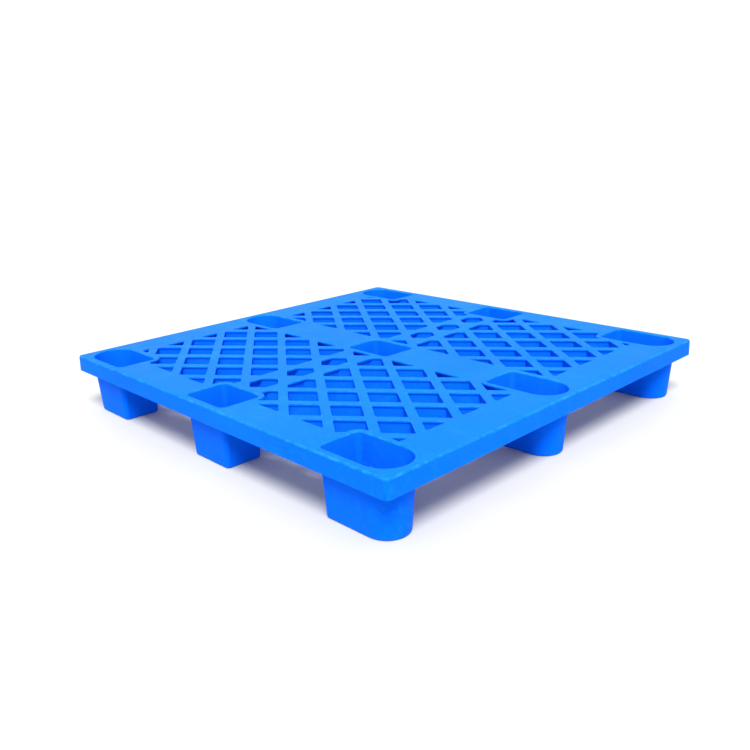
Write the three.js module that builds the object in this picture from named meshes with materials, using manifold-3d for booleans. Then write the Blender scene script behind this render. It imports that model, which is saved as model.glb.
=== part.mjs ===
// Nestable nine-leg pallet, 1100 x 1100 x 140 mm, injection moulded in one shot.
// The deck is a thin skin pierced by diamond holes and stiffened from below by deep ribs.
// Nine hollow tapered legs hang from it, open at the top, so that empty pallets nest.
// The single moulding is divided into its regions: leg blocks, grille panels, borders and
// middle bands. Neighbouring regions share exact cut planes, so they touch face to face.
// Millimetres, +Z up. The origin is on the floor, under the centre of the deck.

import * as THREE from 'three';
import { mergeVertices } from 'three/addons/utils/BufferGeometryUtils.js';
import Module from 'manifold-3d';

const wasm = await Module();
wasm.setup();

// ---- Driving dimensions ----

const SIDE = 1100; // deck length and width
const HEIGHT = 140; // floor to deck
const SKIN = 4; // deck skin
const DECK_CORNER = 12; // vertical corner radius of the deck

const RIM_DEPTH = 39; // outside wall of the deck, below its top face
const RIM_WALL = 4;

const RIB_DEPTH = 32; // ribs stop short of the rim's lower edge
const RIB_WALL = 3.5; // straight ribs and webs
const WEBS_X = [2, 3, 4, 5]; // webs under the front, rear and middle strips, in half pitches
const WEBS_Y = [2, 3, 4, 5, 6, 7]; // webs under the side strips, in half pitches
const STRIP = 20.5; // width of a grille bar seen from above
const COLLAR_WALL = 2.5; // rib round a diamond
const COLLAR_SETBACK = 2.5; // of a collar from the edge of its diamond hole
const PITCH_X = 134; // diamond pitch across the deck
const PITCH_Y = 106; // diamond pitch from front to rear

const LEG_PITCH = 480.5; // centre leg to outer legs, both ways
const LEG_HALF_WIDTH = 44.5; // outside, at the floor, front to rear
const LEG_HALF_LENGTH = 61.5; // outside, at the floor, legs of the centre column
const SIDE_LEG_INNER = 368; // flat inner end of a side leg, from the deck's centre plane
const LEG_CORNER = 8; // outside corner radius at the floor
const LEG_WALL = 3.5;
const LEG_FLOOR = 4;
const DRAFT = Math.tan(THREE.MathUtils.degToRad(4)); // widening of a leg per mm of height

// Grille windows, as distances from the deck's two centre planes
const PANEL_X = [49, 456];
const PANEL_Y = [61, 466];
const COLUMN_X = 29; // half width of the narrow grille between the panels
const LAND = 12.5; // solid skin kept round the mouth of each leg

// Cut planes between the regions
const COLUMN_CUT = 41.75;
const LAND_CUT = 6; // leg block beyond the mouth of its leg
const SIDE_CUT = 467.5;
const END_CUT = 478.5;
const BAND_CUT = 48.5;

// Values that follow from those above
const HALF = SIDE / 2;
const SKIN_UNDER = HEIGHT - SKIN;
const RIM_UNDER = HEIGHT - RIM_DEPTH;
const RIB_UNDER = HEIGHT - RIB_DEPTH;
const JOIN = 1; // how far joined bodies run into each other
const WELD = 1e-4; // vertices nearer than this are one
const CLEAR = 20; // how far cutting bodies run past what they cut
const MOUTH = HEIGHT * DRAFT - LEG_WALL; // growth of a leg's inside from the floor to its mouth
const ARC_STEPS = 4; // facets on a quarter of a small corner
const ROUND_STEPS = 16; // facets on the half-round end of a side leg
const LEAST_HOLE = 150; // smaller leftovers of a clipped diamond stay solid, in mm2

// ---- Solids ----

function solid(geometry) {
  const bare = geometry.clone();
  bare.deleteAttribute('normal');
  bare.deleteAttribute('uv');
  const merged = mergeVertices(bare, WELD);
  const vertProperties = new Float32Array(merged.attributes.position.array);
  const triVerts = new Uint32Array(merged.index.array);
  return new wasm.Manifold(new wasm.Mesh({ numProp: 3, vertProperties, triVerts }));
}

function geometryOf(body) {
  const { vertProperties, triVerts } = body.getMesh();
  const geometry = new THREE.BufferGeometry();
  geometry.setAttribute('position', new THREE.BufferAttribute(vertProperties, 3));
  geometry.setIndex(new THREE.BufferAttribute(triVerts, 1));
  geometry.computeVertexNormals();
  return geometry;
}

function box([x0, x1], [y0, y1], [z0, z1]) {
  const geometry = new THREE.BoxGeometry(x1 - x0, y1 - y0, z1 - z0);
  geometry.translate((x0 + x1) / 2, (y0 + y1) / 2, (z0 + z1) / 2);
  return solid(geometry);
}

function prism(points, z0, z1) {
  const geometry = new THREE.ExtrudeGeometry(new THREE.Shape(points), {
    depth: z1 - z0,
    bevelEnabled: false,
  });
  geometry.translate(0, 0, z0);
  return solid(geometry);
}

// Closed body through outlines of equal point count, one per height, from the lowest up
function loft(outlines, heights) {
  const count = outlines[0].length;
  const positions = [];
  const indices = [];
  outlines.forEach((outline, level) => {
    outline.forEach((point) => positions.push(point.x, point.y, heights[level]));
  });
  for (let level = 1; level < outlines.length; level += 1) {
    for (let i = 0; i < count; i += 1) {
      const a = (level - 1) * count + i;
      const b = (level - 1) * count + ((i + 1) % count);
      indices.push(a, b, b + count, a, b + count, a + count);
    }
  }
  const top = (outlines.length - 1) * count;
  THREE.ShapeUtils.triangulateShape(outlines[0], []).forEach(([a, b, c]) => {
    indices.push(a, c, b, top + a, top + b, top + c);
  });
  const geometry = new THREE.BufferGeometry();
  geometry.setAttribute('position', new THREE.Float32BufferAttribute(positions, 3));
  geometry.setIndex(indices);
  return solid(geometry);
}

const union = (bodies) => bodies.reduce((sum, body) => sum.add(body));

// ---- Legs ----

// Points of an arc, both ends included
function arc(x, y, radius, fromDegrees, toDegrees, steps) {
  return Array.from({ length: steps + 1 }, (_, i) => {
    const angle = THREE.MathUtils.degToRad(fromDegrees + ((toDegrees - fromDegrees) * i) / steps);
    return new THREE.Vector2(x + radius * Math.cos(angle), y + radius * Math.sin(angle));
  });
}

// Outline of a leg of the given column (-1, 0 or 1) and row, grown outward from its
// outside at the floor. Side legs have a half-round outer end.
function legOutline(column, row, grow) {
  const y = row * LEG_PITCH;
  const inset = LEG_HALF_WIDTH - LEG_CORNER;
  const corner = LEG_CORNER + grow;
  const low = y - inset;
  const high = y + inset;
  if (column === 0) {
    const end = LEG_HALF_LENGTH - LEG_CORNER;
    return [
      ...arc(-end, low, corner, 180, 270, ARC_STEPS),
      ...arc(end, low, corner, 270, 360, ARC_STEPS),
      ...arc(end, high, corner, 0, 90, ARC_STEPS),
      ...arc(-end, high, corner, 90, 180, ARC_STEPS),
    ];
  }
  const inner = SIDE_LEG_INNER + LEG_CORNER;
  const right = [
    ...arc(inner, low, corner, 180, 270, ARC_STEPS),
    ...arc(LEG_PITCH, y, LEG_HALF_WIDTH + grow, 270, 450, ROUND_STEPS),
    ...arc(inner, high, corner, 90, 180, ARC_STEPS),
  ];
  if (column > 0) return right;
  return right.map((point) => new THREE.Vector2(-point.x, point.y)).reverse();
}

// Tapered body of a leg between two heights, with its walls moved outward by grow
function legBody(column, row, z0, z1, grow) {
  const outlines = [z0, z1].map((z) => legOutline(column, row, z * DRAFT + grow));
  return loft(outlines, [z0, z1]);
}

const STATIONS = [-1, 0, 1].flatMap((row) => [-1, 0, 1].map((column) => ({ column, row })));

// ---- Grille ----

// Every diamond of the pattern that touches the deck, as prisms between two heights,
// with bars of the given width left between them
function diamonds(barWidth, z0, z1) {
  const halfX = PITCH_X / 2;
  const halfY = PITCH_Y / 2;
  const barSpacing = (2 * halfX * halfY) / Math.hypot(halfX, halfY);
  const scale = 1 - barWidth / barSpacing;
  const reach = Math.ceil(SIDE / PITCH_Y) + 1;
  const bodies = [];
  for (let i = -reach; i <= reach; i += 1) {
    for (let j = -reach; j <= reach; j += 1) {
      const x = i * halfX;
      const y = j * halfY;
      const onPattern = (i + j) % 2 !== 0; // alternate rows are half a pitch over
      if (!onPattern || Math.abs(x) > HALF + halfX || Math.abs(y) > HALF + halfY) continue;
      const corners = [
        new THREE.Vector2(x + halfX * scale, y),
        new THREE.Vector2(x, y + halfY * scale),
        new THREE.Vector2(x - halfX * scale, y),
        new THREE.Vector2(x, y - halfY * scale),
      ];
      bodies.push(prism(corners, z0, z1));
    }
  }
  return union(bodies);
}

// A band on each side of a centre plane, as two intervals
const mirrored = ([near, far]) => [[-far, -near], [near, far]];

// Holes through the skin: diamonds inside the windows and clear of the legs' lands
function grilleHoles() {
  const z = [SKIN_UNDER - CLEAR, HEIGHT + CLEAR];
  const panels = mirrored(PANEL_X).flatMap((x) => mirrored(PANEL_Y).map((y) => box(x, y, z)));
  const columns = mirrored(PANEL_Y).map((y) => box([-COLUMN_X, COLUMN_X], y, z));
  const lands = STATIONS.map(({ column, row }) => (
    prism(legOutline(column, row, MOUTH + LAND), z[0], z[1])
  ));
  const windows = union([...panels, ...columns]).subtract(union(lands));
  const holes = diamonds(STRIP, z[0], z[1]).intersect(windows).decompose();
  const depth = z[1] - z[0];
  return union(holes.filter((hole) => hole.volume() / depth > LEAST_HOLE));
}

// Ribs under the skin: a collar round every diamond of the grille, straight walls that run
// on to the rim, and webs across the solid strips. The cut planes between the regions lie in
// the middle of the straight walls.
function ribs() {
  const inside = HALF - RIM_WALL + JOIN;
  const z = [RIB_UNDER, SKIN_UNDER + JOIN];
  const astride = (plane) => mirrored([plane - RIB_WALL / 2, plane + RIB_WALL / 2]);
  const full = [-inside, inside];
  const straight = [
    ...[COLUMN_CUT, SIDE_CUT].flatMap(astride).map((x) => box(x, full, z)),
    ...[BAND_CUT, END_CUT].flatMap(astride).map((y) => box(full, y, z)),
  ];
  const strips = [[-BAND_CUT, BAND_CUT], ...mirrored([END_CUT, inside])];
  const sides = mirrored([SIDE_CUT, inside]);
  const webs = [
    ...WEBS_X.flatMap((i) => astride((i * PITCH_X) / 2)).flatMap((x) => (
      strips.map((y) => box(x, y, z))
    )),
    ...WEBS_Y.flatMap((j) => astride((j * PITCH_Y) / 2)).flatMap((y) => (
      sides.map((x) => box(x, y, z))
    )),
  ];
  const inner = STRIP - 2 * COLLAR_SETBACK;
  const collars = diamonds(inner - 2 * COLLAR_WALL, z[0], z[1])
    .subtract(diamonds(inner, z[0] - CLEAR, HEIGHT));
  const grille = box([-SIDE_CUT, SIDE_CUT], [-END_CUT, END_CUT], z)
    .subtract(box([-SIDE_CUT, SIDE_CUT], [-BAND_CUT, BAND_CUT], z))
    .subtract(union(STATIONS.map(({ column, row }) => (
      prism(legOutline(column, row, MOUTH), z[0], z[1])
    ))));
  return union([...straight, ...webs]).add(collars.intersect(grille));
}

// ---- The whole moulding ----

function deckOutline(inset) {
  const centre = HALF - DECK_CORNER;
  const radius = DECK_CORNER - inset;
  return [
    ...arc(-centre, -centre, radius, 180, 270, ARC_STEPS),
    ...arc(centre, -centre, radius, 270, 360, ARC_STEPS),
    ...arc(centre, centre, radius, 0, 90, ARC_STEPS),
    ...arc(-centre, centre, radius, 90, 180, ARC_STEPS),
  ];
}

function moulding() {
  const skin = prism(deckOutline(0), SKIN_UNDER, HEIGHT);
  const rimOutside = prism(deckOutline(0), RIM_UNDER, SKIN_UNDER + JOIN);
  const rimInside = prism(deckOutline(RIM_WALL), RIM_UNDER - CLEAR, HEIGHT);
  const rim = rimOutside.subtract(rimInside);
  const legs = union(STATIONS.map(({ column, row }) => legBody(column, row, 0, HEIGHT, 0)));
  const hollows = union(STATIONS.map(({ column, row }) => (
    legBody(column, row, LEG_FLOOR, HEIGHT + CLEAR, -LEG_WALL)
  )));
  return skin.add(rim).add(ribs()).add(legs).subtract(grilleHoles()).subtract(hollows);
}

// ---- Regions ----

const PALLET = moulding();

const plastic = () => new THREE.MeshStandardMaterial({
  color: 0x0a86f6,
  roughness: 0.42,
  metalness: 0,
});

// A named region: what lies inside its bounds
function region(name, bounds) {
  const mesh = new THREE.Mesh(geometryOf(PALLET.intersect(bounds).simplify()), plastic());
  mesh.name = name;
  return mesh;
}

const OUT = HALF + CLEAR;
const TALL = [-CLEAR, HEIGHT + CLEAR];
const COLUMN_NAMES = { '-1': 'left', 0: 'centre', 1: 'right' };
const ROW_NAMES = { '-1': 'front', 0: 'middle', 1: 'rear' };

// An interval measured outward from a centre plane, on its negative or positive side
const side = (sign, [near, far]) => (sign > 0 ? [near, far] : [-far, -near]);

// An interval stretched past the deck's edge on its negative or positive side, if any
function stretched([low, high], sign) {
  if (sign === 0) return [low, high];
  return sign > 0 ? [low, OUT] : [-OUT, high];
}

// Plan of a leg block: a line round the leg's mouth, carried out square to the deck's edge
function blockBounds({ column, row }) {
  const outline = legOutline(column, row, MOUTH + LAND_CUT);
  const xs = outline.map((point) => point.x);
  const ys = outline.map((point) => point.y);
  const spanX = stretched([Math.min(...xs), Math.max(...xs)], column);
  const spanY = stretched([Math.min(...ys), Math.max(...ys)], row);
  const around = prism(outline, TALL[0], TALL[1]);
  const parts = [around];
  if (column !== 0) parts.push(box(side(column, [LEG_PITCH, OUT]), spanY, TALL));
  if (row !== 0) parts.push(box(spanX, side(row, [LEG_PITCH, OUT]), TALL));
  return union(parts);
}

const BLOCKS = union(STATIONS.map(blockBounds));

function legBlocks() {
  return STATIONS.map((station) => {
    const name = `leg_${ROW_NAMES[station.row]}_${COLUMN_NAMES[station.column]}`;
    return region(name, blockBounds(station));
  });
}

function grillePanels() {
  return [-1, 1].flatMap((row) => [-1, 1].map((column) => {
    const x = side(column, [COLUMN_CUT, SIDE_CUT]);
    const y = side(row, [BAND_CUT, END_CUT]);
    const name = `grille_${ROW_NAMES[row]}_${COLUMN_NAMES[column]}`;
    return region(name, box(x, y, TALL).subtract(BLOCKS));
  }));
}

function centreGrilles() {
  return [-1, 1].map((row) => {
    const y = side(row, [BAND_CUT, END_CUT]);
    const bounds = box([-COLUMN_CUT, COLUMN_CUT], y, TALL).subtract(BLOCKS);
    return region(`grille_${ROW_NAMES[row]}_centre`, bounds);
  });
}

function borders() {
  return [-1, 1].flatMap((row) => [-1, 1].flatMap((column) => {
    const rowName = ROW_NAMES[row];
    const columnName = COLUMN_NAMES[column];
    const alongX = box(side(column, [0, HALF]), side(row, [END_CUT, OUT]), TALL);
    const alongY = box(side(column, [SIDE_CUT, OUT]), side(row, [0, HALF]), TALL);
    return [
      region(`border_${rowName}_${columnName}`, alongX.subtract(BLOCKS)),
      region(`border_${columnName}_${rowName}`, alongY.subtract(BLOCKS)),
    ];
  }));
}

function middleBands() {
  return [-1, 1].map((column) => {
    const bounds = box(side(column, [0, SIDE_CUT]), [-BAND_CUT, BAND_CUT], TALL);
    return region(`band_${COLUMN_NAMES[column]}`, bounds.subtract(BLOCKS));
  });
}

const group = new THREE.Group();
group.add(...legBlocks(), ...grillePanels(), ...centreGrilles(), ...borders(), ...middleBands());

export default group;
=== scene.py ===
# The looks of a blue nestable plastic pallet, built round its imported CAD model.
# Every CAD node is a region of one moulding with sharp edges. Each gets one visual piece: the same
# region with the draft, rounded edges, mouth lips and rounded hole corners of a real moulding.
# Regions meet on shared cut planes. Nothing on such a plane is rounded, so no joint line shows.
# Metres, +Z up. The origin is on the floor, under the centre of the deck.

import math

import bmesh
import bpy
from mathutils import Matrix, Vector
from mathutils.bvhtree import BVHTree


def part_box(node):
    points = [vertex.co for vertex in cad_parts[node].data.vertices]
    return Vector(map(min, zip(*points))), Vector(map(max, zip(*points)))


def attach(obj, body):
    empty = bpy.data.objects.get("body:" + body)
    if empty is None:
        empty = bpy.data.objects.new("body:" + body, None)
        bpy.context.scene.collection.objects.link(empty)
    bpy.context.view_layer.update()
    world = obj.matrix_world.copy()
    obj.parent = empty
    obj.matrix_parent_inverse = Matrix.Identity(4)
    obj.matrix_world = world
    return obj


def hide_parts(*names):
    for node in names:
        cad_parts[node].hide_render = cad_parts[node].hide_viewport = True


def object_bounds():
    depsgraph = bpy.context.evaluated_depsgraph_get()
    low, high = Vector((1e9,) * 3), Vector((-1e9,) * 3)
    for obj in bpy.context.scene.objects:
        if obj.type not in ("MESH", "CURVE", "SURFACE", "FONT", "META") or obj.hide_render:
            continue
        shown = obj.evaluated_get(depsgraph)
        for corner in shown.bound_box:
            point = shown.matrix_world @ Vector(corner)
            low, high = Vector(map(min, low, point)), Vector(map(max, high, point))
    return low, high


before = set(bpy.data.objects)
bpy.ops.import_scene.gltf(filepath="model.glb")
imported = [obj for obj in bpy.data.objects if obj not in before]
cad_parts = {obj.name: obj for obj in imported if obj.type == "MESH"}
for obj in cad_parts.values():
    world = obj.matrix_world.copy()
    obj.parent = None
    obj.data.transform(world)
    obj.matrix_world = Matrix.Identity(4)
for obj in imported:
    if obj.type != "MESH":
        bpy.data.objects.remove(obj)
CAD_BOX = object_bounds()

MM = 0.001
FLOOR_Z = CAD_BOX[0].z
DECK_Z = CAD_BOX[1].z
HALF = CAD_BOX[1].x  # half the deck's side
RIM_UNDER_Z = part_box("border_left_front")[0].z
SKIN = 4 * MM  # thickness of the deck between its ribs
LEG_FLOOR = 4 * MM
DECK_CORNER = 12 * MM  # vertical corner radius of the deck
RIM_DRAFT = 1.2 * MM  # how far each side of the rim leans in, from its lower edge to the deck
HALF_PITCH_X = 67 * MM  # half the pitch of the diamond pattern
HALF_PITCH_Y = 53 * MM
LEG_PITCH = 480.5 * MM  # from the middle of one leg to the next

# Radii of the rounded edges
HOLE_CORNER = 3.4 * MM  # corners of the diamond holes, seen from above
HOLE_EDGE = 1.3 * MM
MOUTH_LIP = 3 * MM
DECK_EDGE = 4 * MM
RIM_EDGE = 1.2 * MM
RIM_INNER_EDGE = 0.8 * MM
FOOT_EDGE = 4.5 * MM
POCKET_EDGE = 3.5 * MM

HOLE_CORNER_STEPS = 4
NEAR = 0.02 * MM  # closer than this is the same place
RIM_REACH = 1.5 * MM  # an edge this near the deck's outline is on the rim's outside
SIDE_SHARE = 0.42  # most of a hole's side that the rounding of one corner may take
REACH_DIGITS = 4  # corners whose reach is the same to 0.1 mm are rounded together
PLACE_DIGITS = 5  # an edge is known again by its middle, to 0.01 mm
LEVEL = 0.99  # a face is level when the size of its normal's z is at least this
STEEP = 0.5  # and steep when it is less than this
FLAT = math.radians(0.2)  # triangles that turn less than this are one flat area
FACET = math.radians(28)  # a smaller turn between two walls is one step of a curve
SMOOTH = math.radians(38)  # shading runs smoothly over a smaller turn than this


# ---- Meshes ----


def triangles_of(obj):
    obj.data.calc_loop_triangles()
    return [tuple(t.vertices) for t in obj.data.loop_triangles]


def seam_finder(node):
    """A test of whether a point lies on any other node than this one."""
    points, faces = [], []
    for name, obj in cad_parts.items():
        if name != node:
            start = len(points)
            points.extend(v.co.copy() for v in obj.data.vertices)
            faces.extend(tuple(i + start for i in t) for t in triangles_of(obj))
    tree = BVHTree.FromPolygons(points, faces)
    return lambda point: tree.find_nearest(point, NEAR)[0] is not None


def rim_normal(x, y):
    """Outward direction, in plan, of the deck's outline near a point, and how far inside it
    the point is. A point clear of the outline gets no direction, and half the deck's side."""
    core = HALF - DECK_CORNER
    over = Vector((max(abs(x) - core, 0), max(abs(y) - core, 0)))
    if over.length < NEAR:
        return Vector((0, 0)), HALF
    out = Vector((math.copysign(over.x, x), math.copysign(over.y, y))).normalized()
    return out, DECK_CORNER - over.length


def draft_rim(bm):
    """Leans the outside wall of the deck, so that it is widest at its lower edge."""
    depth = DECK_Z - RIM_UNDER_Z
    for v in bm.verts:
        out, inside = rim_normal(v.co.x, v.co.y)
        if abs(inside) < NEAR:
            lean = RIM_DRAFT * (v.co.z - RIM_UNDER_Z) / depth
            v.co -= Vector((out.x, out.y, 0)) * lean


def mid(edge):
    return (edge.verts[0].co + edge.verts[1].co) / 2


def level(edge, z):
    return all(abs(v.co.z - z) < NEAR for v in edge.verts)


def is_level(face):
    return abs(face.normal.z) > LEVEL


def wall_of(edge):
    """The steep face beside a horizontal edge, if its other face is level."""
    if len(edge.link_faces) != 2:
        return None
    flat = [f for f in edge.link_faces if is_level(f)]
    steep = [f for f in edge.link_faces if abs(f.normal.z) < STEEP]
    return steep[0] if len(flat) == 1 and len(steep) == 1 else None


def lowest(face):
    return min(v.co.z for v in face.verts)


def is_rim(edge):
    inside = rim_normal(*mid(edge).xy)[1]
    return abs(inside) < RIM_REACH


def is_deck_edge(edge):
    return level(edge, DECK_Z) and wall_of(edge) is not None and is_rim(edge)


def is_mouth(edge):
    """An edge of a leg's mouth: its wall runs far down, into the leg."""
    wall = wall_of(edge)
    return level(edge, DECK_Z) and wall is not None and lowest(wall) < DECK_Z / 2


def is_hole_edge(edge):
    wall = wall_of(edge)
    if not level(edge, DECK_Z) or wall is None or is_rim(edge):
        return False
    return abs(lowest(wall) - (DECK_Z - SKIN)) < NEAR


def is_rim_edge(edge):
    return level(edge, RIM_UNDER_Z) and wall_of(edge) is not None and is_rim(edge)


def is_rim_inner_edge(edge):
    return level(edge, RIM_UNDER_Z) and wall_of(edge) is not None and not is_rim(edge)


def is_foot_edge(edge):
    return level(edge, FLOOR_Z) and wall_of(edge) is not None


def is_pocket_edge(edge):
    return level(edge, FLOOR_Z + LEG_FLOOR) and wall_of(edge) is not None


def is_hole_corner(edge):
    a, b = (v.co for v in edge.verts)
    upright = (a.xy - b.xy).length < NEAR and len(edge.link_faces) == 2
    spans = abs(max(a.z, b.z) - DECK_Z) < NEAR and abs(min(a.z, b.z) - DECK_Z + SKIN) < NEAR
    return upright and spans and edge.calc_face_angle(0) > FACET


# In this order: which edges are rounded, the radius, and in how many steps
ROUNDINGS = (
    (is_hole_edge, HOLE_EDGE, 3),
    (is_mouth, MOUTH_LIP, 4),
    (is_deck_edge, DECK_EDGE, 4),
    (is_rim_edge, RIM_EDGE, 2),
    (is_rim_inner_edge, RIM_INNER_EDGE, 2),
    (is_foot_edge, FOOT_EDGE, 4),
    (is_pocket_edge, POCKET_EDGE, 3),
)


def bevel(bm, edges, offset, segments, layer):
    """Rounds edges, and marks the new faces in the layer that the material's wear follows."""
    made = bmesh.ops.bevel(
        bm,
        geom=edges,
        offset=offset,
        offset_type="OFFSET",
        segments=segments,
        profile=0.5,
        affect="EDGES",
        clamp_overlap=False,
        loop_slide=False,
    )
    for face in made["faces"]:
        face[layer] = 1.0


def corner_reach(edge):
    """How far from a hole's corner its rounding starts along each side."""
    beside = [
        e.calc_length()
        for v in edge.verts
        for e in v.link_edges
        if e is not edge and abs(e.verts[0].co.z - e.verts[1].co.z) < NEAR and wall_of(e)
    ]
    reach = HOLE_CORNER * math.tan(edge.calc_face_angle() / 2)
    return round(min([reach] + [SIDE_SHARE * length for length in beside]), REACH_DIGITS)


def round_hole_corners(bm, on_seam, layer):
    """Rounds the holes' corners, seen from above, one reach at a time."""

    def key(edge):
        return tuple(round(c, PLACE_DIGITS) for c in mid(edge))

    places = {}
    for e in bm.edges:
        if is_hole_corner(e) and not on_seam(mid(e)):
            places.setdefault(corner_reach(e), set()).add(key(e))
    for reach, keys in sorted(places.items()):
        edges = [e for e in bm.edges if is_hole_corner(e) and key(e) in keys]
        bevel(bm, edges, reach, HOLE_CORNER_STEPS, layer)
        bm.normal_update()


def is_under_deck(face):
    """Whether a face is between the legs' floors and the deck's top."""
    return FLOOR_Z + LEG_FLOOR + NEAR < lowest(face) < DECK_Z - NEAR


def cut_lines(node):
    """Planes that cut the level areas of a node before its triangles are merged, so that no merged
    face goes round a hole, a collar or a leg: through the tips of the diamonds and the middle of
    each leg. The third value says whether a plane cuts only what is under the deck."""
    low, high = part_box(node)
    is_leg = node.startswith("leg")
    for axis, step in ((0, HALF_PITCH_X), (1, HALF_PITCH_Y)):
        for i in range(math.ceil(low[axis] / step), math.floor(high[axis] / step) + 1):
            yield axis, step * i, is_leg
        if is_leg:
            middle = (low[axis] + high[axis]) / 2
            yield axis, 0.0 if abs(middle) < NEAR else math.copysign(LEG_PITCH, middle), False


def simplify(bm, node):
    """Merges the triangles of each flat area, once its level areas are cut."""
    for axis, place, under_deck in cut_lines(node):
        faces = [f for f in bm.faces if is_level(f) and (is_under_deck(f) or not under_deck)]
        edges = {e for f in faces for e in f.edges}
        verts = {v for f in faces for v in f.verts}
        direction = Vector((0, 0, 0))
        direction[axis] = 1
        made = bmesh.ops.bisect_plane(
            bm,
            geom=[*verts, *edges, *faces],
            dist=NEAR,
            plane_co=direction * place,
            plane_no=direction,
        )
        for part in made["geom_cut"]:
            if isinstance(part, bmesh.types.BMEdge):
                part.seam = all(is_level(f) for f in part.link_faces)
        bm.normal_update()
    bmesh.ops.dissolve_limit(
        bm,
        angle_limit=FLAT,
        verts=bm.verts,
        edges=bm.edges,
        delimit={"SEAM"},
    )
    bm.normal_update()


def set_normals(mesh):
    """Smooth normals over rounded edges and curves, weighted by area to keep flat faces flat."""
    mesh.shade_smooth()
    beside = [[] for _ in mesh.vertices]
    for face in mesh.polygons:
        for i in face.vertices:
            beside[i].append(face)
    limit = math.cos(SMOOTH)
    normals = []
    for face in mesh.polygons:
        for i in face.vertices:
            near = [f for f in beside[i] if f.normal.dot(face.normal) > limit]
            total = sum((f.normal * f.area for f in near), Vector((0, 0, 0)))
            normals.append(total.normalized() if total.length > 0 else face.normal.copy())
    mesh.normals_split_custom_set(normals)


def mesh_from(bm, name):
    mesh = bpy.data.meshes.new(name)
    bm.to_mesh(mesh)
    bm.free()
    return mesh


def link(obj):
    bpy.context.scene.collection.objects.link(obj)


def make_moulded(node):
    """Makes the visual piece of a CAD node."""
    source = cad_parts[node]
    on_seam = seam_finder(node)
    bm = bmesh.new()
    bm.from_mesh(source.data)
    bmesh.ops.remove_doubles(bm, verts=bm.verts, dist=NEAR / 2)
    bm.normal_update()
    simplify(bm, node)
    layer = bm.faces.layers.float.new("rounded")
    draft_rim(bm)
    bm.normal_update()
    round_hole_corners(bm, on_seam, layer)
    for belongs, offset, segments in ROUNDINGS:
        edges = [e for e in bm.edges if belongs(e) and not on_seam(mid(e))]
        if edges:
            bevel(bm, edges, offset, segments, layer)
            bm.normal_update()
    mesh = mesh_from(bm, f"{node}_moulded")
    set_normals(mesh)
    mesh.materials.append(PLASTIC)
    piece = bpy.data.objects.new(f"{node}_moulded", mesh)
    link(piece)
    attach(piece, "root")
    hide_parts(node)


# ---- Materials ----

BLUE = (0.0012, 0.108, 0.77, 1)
BLUE_CLOUD = (0.0020, 0.122, 0.83, 1)
BLUE_FLOW = (0.008, 0.19, 0.86, 1)
BLUE_WORN = (0.03, 0.26, 0.90, 1)
BLUE_SCRATCH = (0.05, 0.28, 0.88, 1)
BLUE_SMUDGE = (0.001, 0.06, 0.48, 1)
GLOSS_TINT = (0.15, 0.5, 1.0, 1)
GREY_LOW = (0.43, 0.43, 0.43, 1)
GREY_HIGH = (0.46, 0.46, 0.46, 1)

# How much of the colour under it each kind of mark covers
FLOW_COVER = 0.4
WORN_COVER = 0.4
SCRATCH_COVER = 0.3
SMUDGE_COVER = 0.35

# What wear and scratches add to the roughness
WORN_ROUGH = 0.08
SCRATCH_ROUGH = 0.12

PLASTIC_IOR = 1.5
PLASTIC_GLOSS = 0.012  # very low: the photo shows almost no gloss
FLOOR_ROUGH = 0.9
FLOOR_GLOSS = 0.1

# A Mix node's colour sockets, which share their names with its other kinds
MIX_FACTOR, MIX_FIRST, MIX_SECOND, MIX_RESULT = 0, 6, 7, 2


class Nodes:
    """A material's node tree, with short ways to add to it."""

    def __init__(self, name):
        self.material = bpy.data.materials.new(name)
        self.material.use_nodes = True
        self.tree = self.material.node_tree
        self.tree.nodes.clear()

    def feed(self, socket, value):
        """Links a socket to another one, or sets it to a value."""
        if isinstance(value, bpy.types.NodeSocket):
            self.tree.links.new(value, socket)
        else:
            socket.default_value = value

    def add(self, kind, inputs=None, **settings):
        node = self.tree.nodes.new(kind)
        for key, value in settings.items():
            setattr(node, key, value)
        for key, value in (inputs or {}).items():
            self.feed(node.inputs[key], value)
        return node

    def noise(self, vector, scale, detail=3.0, roughness=0.5, distortion=0.0):
        node = self.add(
            "ShaderNodeTexNoise",
            {
                "Vector": vector,
                "Scale": scale,
                "Detail": detail,
                "Roughness": roughness,
                "Distortion": distortion,
            },
        )
        return node.outputs["Fac"]

    def spread(self, value, low, high, to_low=0.0, to_high=1.0):
        """value, with low..high mapped to to_low..to_high and clamped."""
        node = self.add(
            "ShaderNodeMapRange",
            {
                "Value": value,
                "From Min": low,
                "From Max": high,
                "To Min": to_low,
                "To Max": to_high,
            },
            clamp=True,
        )
        return node.outputs["Result"]

    def combine(self, operation, first, second):
        node = self.add("ShaderNodeMath", {0: first, 1: second}, operation=operation)
        return node.outputs[0]

    def times(self, first, second):
        return self.combine("MULTIPLY", first, second)

    def plus(self, first, second):
        return self.combine("ADD", first, second)

    def blend(self, factor, first, second):
        """A colour between two, by factor."""
        inputs = {MIX_FACTOR: factor, MIX_FIRST: first, MIX_SECOND: second}
        return self.add("ShaderNodeMix", inputs, data_type="RGBA").outputs[MIX_RESULT]

    def mark(self, colour, where, cover, paint):
        """A colour, with as much paint over it as where and cover allow."""
        return self.blend(self.times(where, cover), colour, paint)

    def stretched(self, vector, scale):
        node = self.add("ShaderNodeMapping", {"Vector": vector, "Scale": scale})
        return node.outputs["Vector"]

    def bump(self, height, strength, distance, under=None):
        """A relief, over the relief under it if there is one."""
        inputs = {"Strength": strength, "Distance": distance, "Height": height}
        if under is not None:
            inputs["Normal"] = under
        return self.add("ShaderNodeBump", inputs).outputs[0]

    def output(self, shader):
        self.add("ShaderNodeOutputMaterial", {"Surface": shader})
        return self.material


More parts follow.
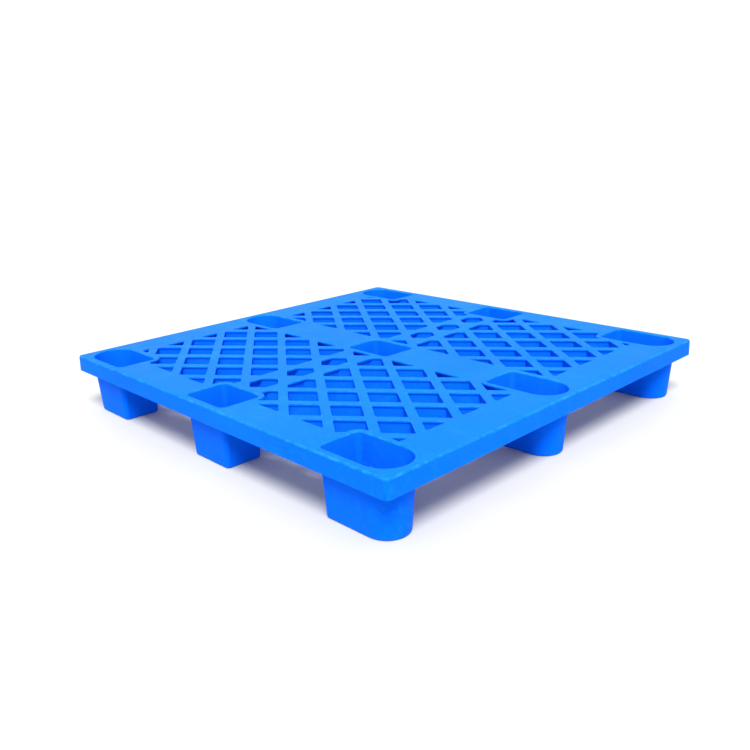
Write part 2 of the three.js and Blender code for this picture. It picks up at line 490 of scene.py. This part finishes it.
def blue_plastic():
    n = Nodes("blue_plastic")
    place = n.add("ShaderNodeTexCoord").outputs["Object"]

    # An even blue with faint cloudiness
    cloud = n.spread(n.noise(place, scale=5, detail=4), low=0.3, high=0.7)
    colour = n.blend(cloud, BLUE, BLUE_CLOUD)

    # Paler flow marks, in wide patches
    streaks = n.noise(
        n.stretched(place, scale=(6, 15, 12)), scale=4, detail=6, roughness=0.65, distortion=1.6
    )
    patches = n.spread(n.noise(place, scale=2.3), low=0.46, high=0.6)
    flow = n.times(n.spread(streaks, low=0.52, high=0.72), patches)
    colour = n.mark(colour, flow, FLOW_COVER, BLUE_FLOW)

    # Paler worn edges
    rounded = n.add("ShaderNodeAttribute", attribute_name="rounded").outputs["Fac"]
    rub = n.spread(n.noise(place, scale=70, detail=6, roughness=0.7), low=0.42, high=0.68)
    wear = n.times(rounded, rub)
    colour = n.mark(colour, wear, WORN_COVER, BLUE_WORN)

    # Short pale scratches where loads slide
    lines = n.noise(
        n.stretched(place, scale=(9, 120, 40)), scale=4, detail=2, roughness=0.5, distortion=0.4
    )
    patches = n.spread(n.noise(place, scale=11, detail=3), low=0.52, high=0.66)
    scratch = n.times(n.spread(lines, low=0.66, high=0.70), patches)
    colour = n.mark(colour, scratch, SCRATCH_COVER, BLUE_SCRATCH)

    # Small dark smudges of handling, in a few places
    spots = n.noise(
        n.stretched(place, scale=(1, 1.8, 1)), scale=42, detail=4, roughness=0.6, distortion=1.2
    )
    patches = n.spread(n.noise(place, scale=4), low=0.52, high=0.60)
    smudge = n.times(n.spread(spots, low=0.62, high=0.70), patches)
    colour = n.mark(colour, smudge, SMUDGE_COVER, BLUE_SMUDGE)

    # Roughness: uneven, and higher where the surface is worn or scratched
    satin = n.noise(place, scale=16, detail=5, roughness=0.6)
    rough = n.spread(satin, low=0.3, high=0.7, to_low=0.36, to_high=0.47)
    rough = n.plus(rough, n.times(wear, WORN_ROUGH))
    rough = n.plus(rough, n.times(scratch, SCRATCH_ROUGH))

    # Relief: the fine satin grain of the mould, and a slow waviness of large flat areas
    grain = n.noise(place, scale=1400, detail=2, roughness=0.6)
    wave = n.noise(place, scale=13, detail=2)
    fine = n.bump(grain, strength=0.12, distance=0.2 * MM)
    slow = n.bump(wave, strength=0.25, distance=1.2 * MM, under=fine)
    shader = n.add(
        "ShaderNodeBsdfPrincipled",
        {
            "Base Color": colour,
            "Roughness": rough,
            "Normal": slow,
            "IOR": PLASTIC_IOR,
            "Specular IOR Level": PLASTIC_GLOSS,
            "Specular Tint": GLOSS_TINT,
        },
    )
    return n.output(shader.outputs[0])


def pale_floor():
    n = Nodes("pale_floor")
    place = n.add("ShaderNodeTexCoord").outputs["Object"]
    tone = n.spread(n.noise(place, scale=1.5, detail=4), low=0.3, high=0.7)
    shader = n.add(
        "ShaderNodeBsdfPrincipled",
        {
            "Base Color": n.blend(tone, GREY_LOW, GREY_HIGH),
            "Roughness": FLOOR_ROUGH,
            "Specular IOR Level": FLOOR_GLOSS,
        },
    )
    return n.output(shader.outputs[0])


PLASTIC = blue_plastic()

for node_name in sorted(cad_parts):
    make_moulded(node_name)


# ---- Stage ----

FLOOR_RADIUS = 40.0
FLOOR_RINGS = 12
FLOOR_STEPS = 64
FLOOR_GAP = 0.2 * MM  # the floor is this far under the feet, so that the two share no plane

SKY_COLOUR = (0.97, 0.985, 1.0, 1)
SKY_STRENGTH = 1.15
SUN_STRENGTH = 5.5
SUN_ANGLE = math.radians(25)  # wide, for soft shadows
SUN_SIDE = Vector((0.50, -0.45, 1))  # the direction that its light comes from
PANEL_POWER = 3
PANEL_SIZE = (2.4, 1.2)
PANEL_PLACE = Vector((-3.4, 0.9, 1.1))
PANEL_AIM = Vector((-0.3, 0, 0.1))

# The camera that was fitted to the photo
SENSOR_MM = 36
LENS_MM = 37.547
LENS_SHIFT = 1 / 30
CLIP_NEAR, CLIP_FAR = 0.05, 200
CAMERA_PLACE = (1.34064, -1.35723, 0.67890)
CAMERA_AHEAD = Vector((-0.697092, 0.649068, -0.304588))
CAMERA_UPWARD = Vector((-0.198199, 0.233818, 0.951865))


def make_floor():
    """A round floor, with rings that are wider farther out."""
    bm = bmesh.new()
    centre = bm.verts.new((0, 0, 0))
    angles = [math.tau * i / FLOOR_STEPS for i in range(FLOOR_STEPS)]
    before = None
    for ring in range(1, FLOOR_RINGS + 1):
        r = FLOOR_RADIUS * (ring / FLOOR_RINGS) ** 2
        around = [bm.verts.new((r * math.cos(a), r * math.sin(a), 0)) for a in angles]
        for i in range(FLOOR_STEPS):
            j = (i + 1) % FLOOR_STEPS
            if before is None:
                bm.faces.new((centre, around[i], around[j]))
            else:
                bm.faces.new((before[i], around[i], around[j], before[j]))
        before = around
    mesh = mesh_from(bm, "floor")
    mesh.materials.append(pale_floor())
    floor = bpy.data.objects.new("floor", mesh)
    floor.location.z = FLOOR_Z - FLOOR_GAP
    link(floor)


def add_lamp(light, place, side):
    """Puts a light at a place, with its light coming from the given side."""
    lamp = bpy.data.objects.new(light.name, light)
    lamp.location = place
    lamp.rotation_euler = side.to_track_quat("Z", "Y").to_euler()
    link(lamp)


def make_lights():
    world = bpy.data.worlds.new("studio")
    world.use_nodes = True
    back = world.node_tree.nodes["Background"]
    back.inputs["Color"].default_value = SKY_COLOUR
    back.inputs["Strength"].default_value = SKY_STRENGTH
    bpy.context.scene.world = world

    sun = bpy.data.lights.new("overhead", "SUN")
    sun.energy = SUN_STRENGTH
    sun.angle = SUN_ANGLE
    add_lamp(sun, (0, 0, 0), SUN_SIDE)

    panel = bpy.data.lights.new("back_panel", "AREA")
    panel.shape = "RECTANGLE"
    panel.size, panel.size_y = PANEL_SIZE
    panel.energy = PANEL_POWER
    add_lamp(panel, PANEL_PLACE, PANEL_PLACE - PANEL_AIM)


def make_camera():
    data = bpy.data.cameras.new("camera")
    data.sensor_width = SENSOR_MM
    data.lens = LENS_MM
    data.shift_x = LENS_SHIFT
    data.clip_start, data.clip_end = CLIP_NEAR, CLIP_FAR
    camera = bpy.data.objects.new("camera", data)
    right = CAMERA_AHEAD.cross(CAMERA_UPWARD)
    turn = Matrix((right, CAMERA_UPWARD, -CAMERA_AHEAD)).transposed().to_4x4()
    camera.matrix_world = Matrix.Translation(CAMERA_PLACE) @ turn
    link(camera)
    bpy.context.scene.camera = camera


make_floor()
make_lights()
make_camera()
bpy.context.scene.view_settings.view_transform = "Standard"
